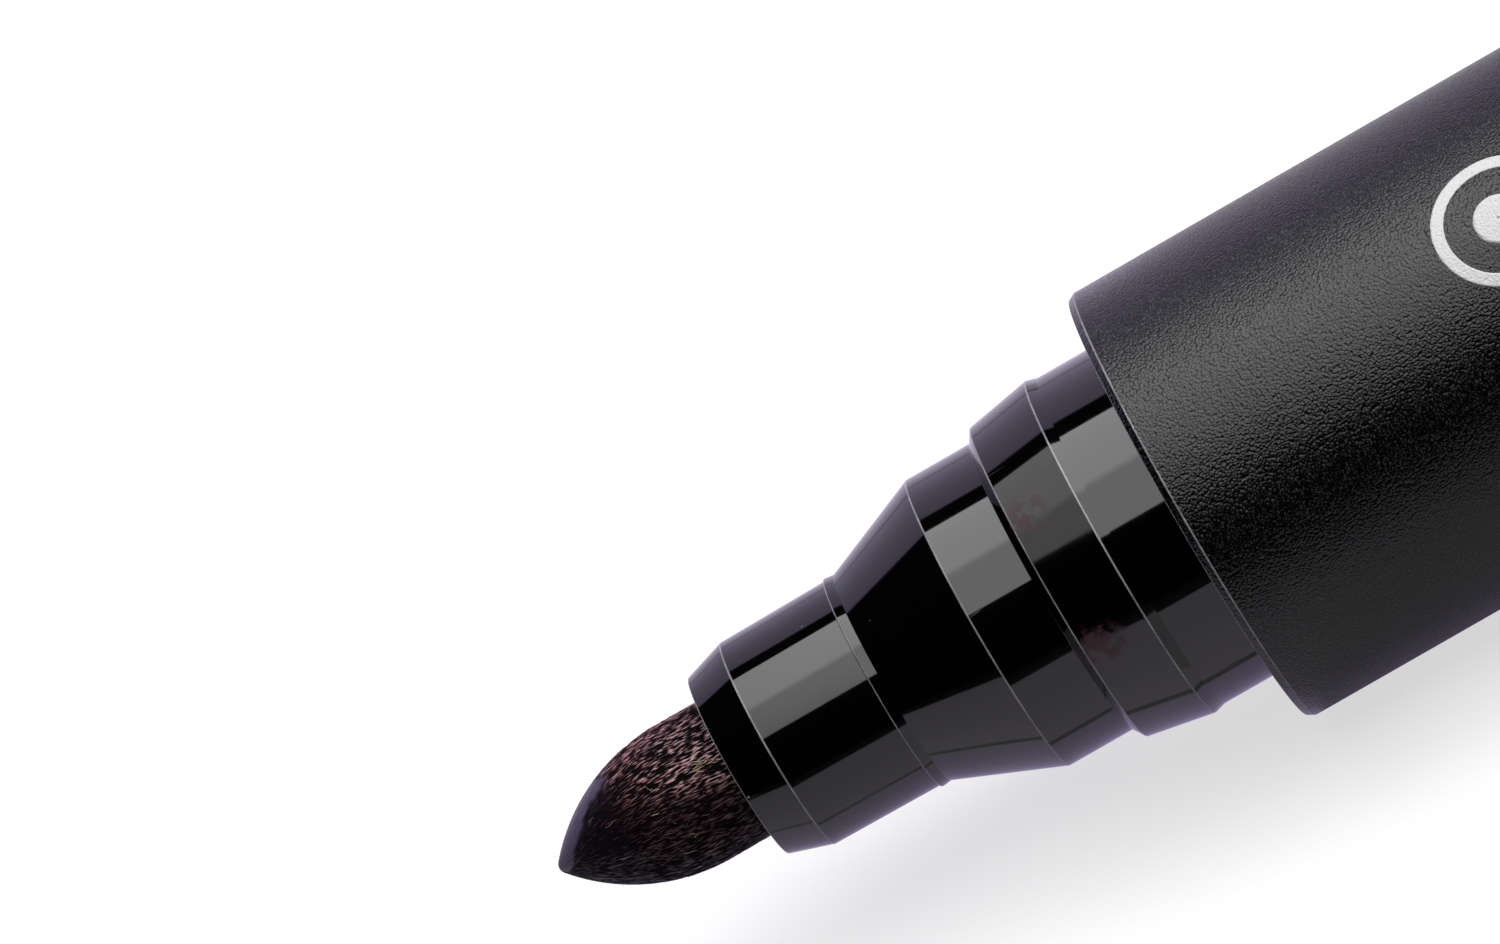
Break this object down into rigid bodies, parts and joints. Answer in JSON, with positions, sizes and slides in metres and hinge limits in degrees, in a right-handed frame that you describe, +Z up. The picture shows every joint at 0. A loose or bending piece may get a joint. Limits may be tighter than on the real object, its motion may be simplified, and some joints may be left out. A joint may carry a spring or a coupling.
{
  "type": "felt-tip marker",
  "caption": "Thick felt-tip marker with a round fibre nib, glossy stepped front end, matt textured barrel and a clip cap posted on its rear.",
  "frame": {"origin": "on the pen's axis, at the middle of the barrel", "axes": "+X along the pen from the nib to the cap, +Z up; the pen lies on its side on z = -0.009"},
  "size_m": [0.1623, 0.0192, 0.018],
  "materials": {
    "matt_black_plastic": "fine spark-eroded texture",
    "gloss_black_plastic": "polished moulding",
    "inked_fibre": "bonded fibre soaked in black ink",
    "ink_filler": "polyester fibre soaked in ink",
    "clear_film": "thin clear film",
    "natural_plastic": "unpigmented polyethylene"
  },
  "bodies": {
    "pen": {"barrel": "matt_black_plastic", "front_section": "gloss_black_plastic", "nib": "inked_fibre", "reservoir_core": "ink_filler", "reservoir_film": "clear_film", "vent_tube": "natural_plastic", "end_plug": "matt_black_plastic"},
    "cap": {"cap_shell": "gloss_black_plastic", "cap_liner": "natural_plastic"},
    "clip": {"cap_clip": "gloss_black_plastic"}
  },
  "joints": [
    {"name": "cap_slide", "type": "slide", "parent": "pen", "child": "cap", "axis": [1, 0, 0], "range_m": [0, 0.03]},
    {"name": "clip_flex", "type": "hinge", "parent": "cap", "child": "clip", "pos_m": [0.0847, -0.00641, -0.00528], "axis": [0, -0.6357, 0.7719], "range_deg": [0, 4], "stiffness_Nm_per_rad": 0.13}
  ]
}
